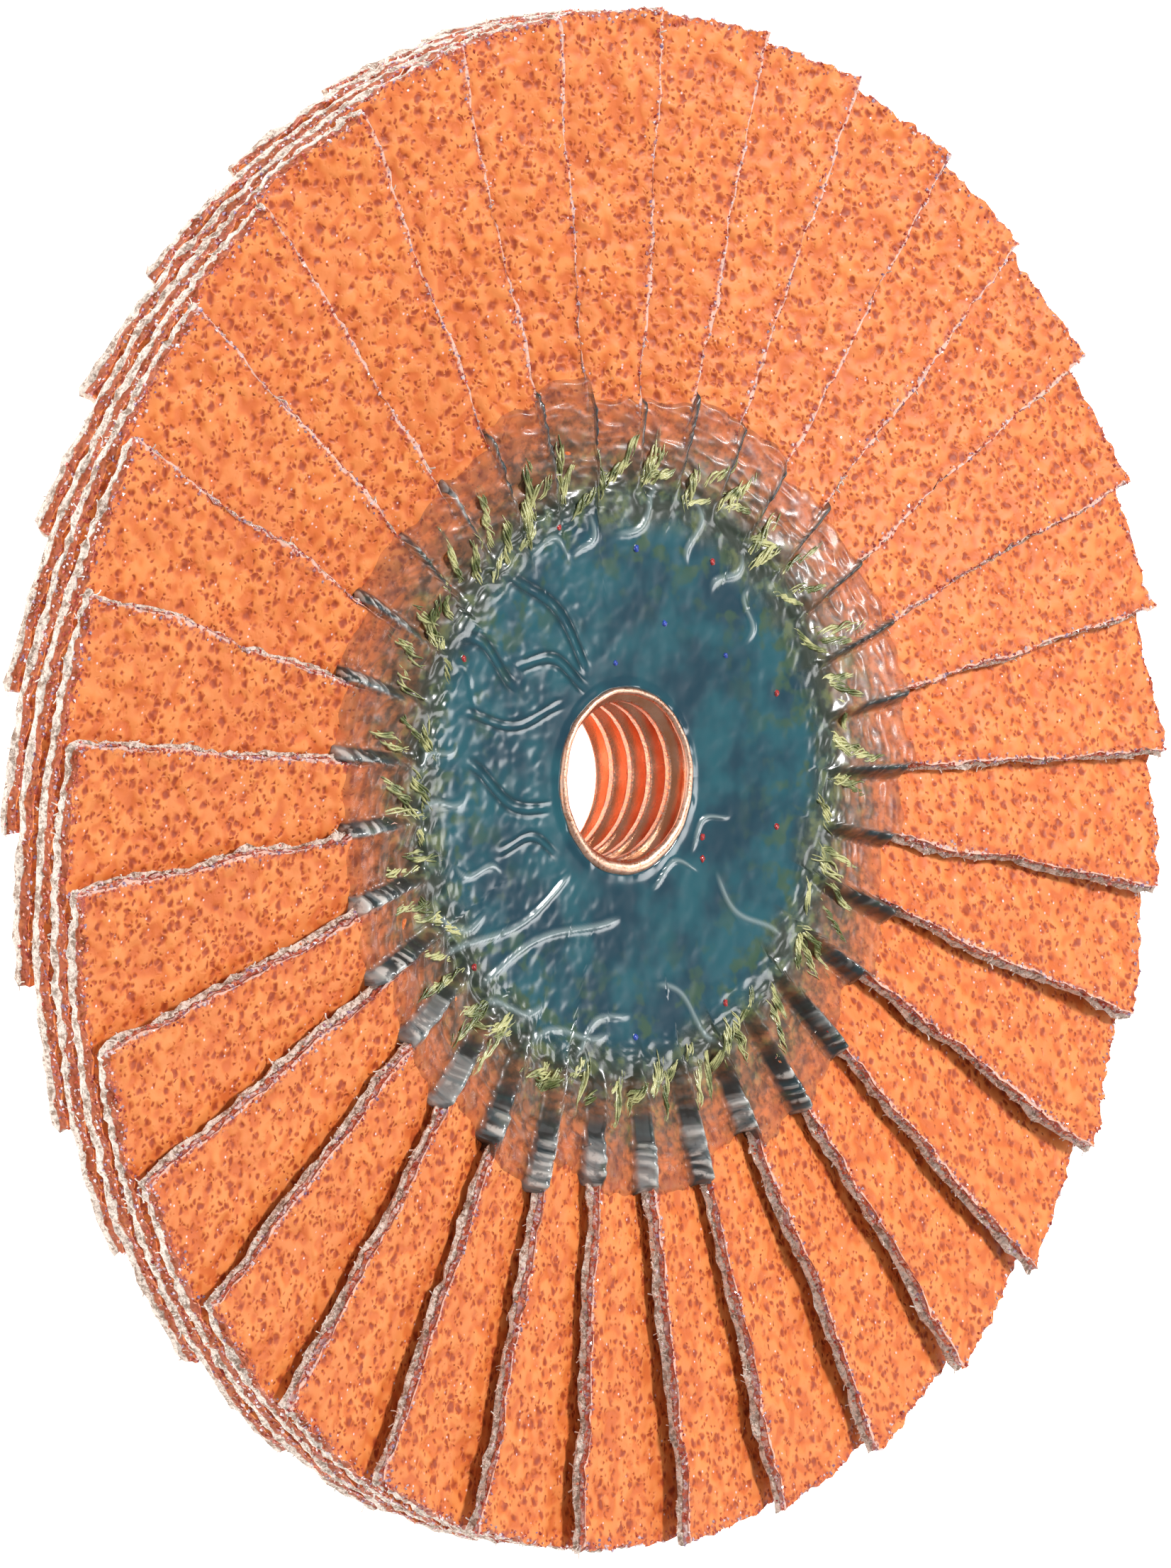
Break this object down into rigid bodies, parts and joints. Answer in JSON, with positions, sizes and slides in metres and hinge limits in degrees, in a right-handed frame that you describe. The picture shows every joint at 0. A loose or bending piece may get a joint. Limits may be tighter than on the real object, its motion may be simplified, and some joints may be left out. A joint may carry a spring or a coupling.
{
  "type": "flap disc",
  "caption": "Round grinding disc of overlapping orange abrasive cloth flaps bonded to a glass-fibre plate, with a resin-filled centre and a threaded metal bush.",
  "frame": {"origin": "centre of the bush flange's back face, which is the bottom of the box", "axes": "+Z along the spindle axis towards the working face; +X through the first flap's cut edge"},
  "size_m": [0.115, 0.115, 0.0132],
  "materials": {
    "abrasive_cloth": "grain-coated cloth",
    "coppered_steel": "copper-plated, turned",
    "glass_fibre_plate": "woven glass fibre in resin",
    "bonding_adhesive": "cured adhesive",
    "teal_resin": "glossy, wrinkled skin"
  },
  "bodies": {
    "root": {"flap_01": "abrasive_cloth", "flap_02": "abrasive_cloth", "flap_03": "abrasive_cloth", "flap_04": "abrasive_cloth", "flap_05": "abrasive_cloth", "flap_06": "abrasive_cloth", "flap_07": "abrasive_cloth", "flap_08": "abrasive_cloth", "flap_09": "abrasive_cloth", "flap_10": "abrasive_cloth", "flap_11": "abrasive_cloth", "flap_12": "abrasive_cloth", "flap_13": "abrasive_cloth", "flap_14": "abrasive_cloth", "flap_15": "abrasive_cloth", "flap_16": "abrasive_cloth", "flap_17": "abrasive_cloth", "flap_18": "abrasive_cloth", "flap_19": "abrasive_cloth", "flap_20": "abrasive_cloth", "flap_21": "abrasive_cloth", "flap_22": "abrasive_cloth", "flap_23": "abrasive_cloth", "flap_24": "abrasive_cloth", "flap_25": "abrasive_cloth", "flap_26": "abrasive_cloth", "flap_27": "abrasive_cloth", "flap_28": "abrasive_cloth", "flap_29": "abrasive_cloth", "flap_30": "abrasive_cloth", "flap_31": "abrasive_cloth", "flap_32": "abrasive_cloth", "flap_33": "abrasive_cloth", "threaded_bush": "coppered_steel", "backing_plate": "glass_fibre_plate", "bond_bed": "bonding_adhesive", "resin_face": "teal_resin"}
  },
  "joints": []
}
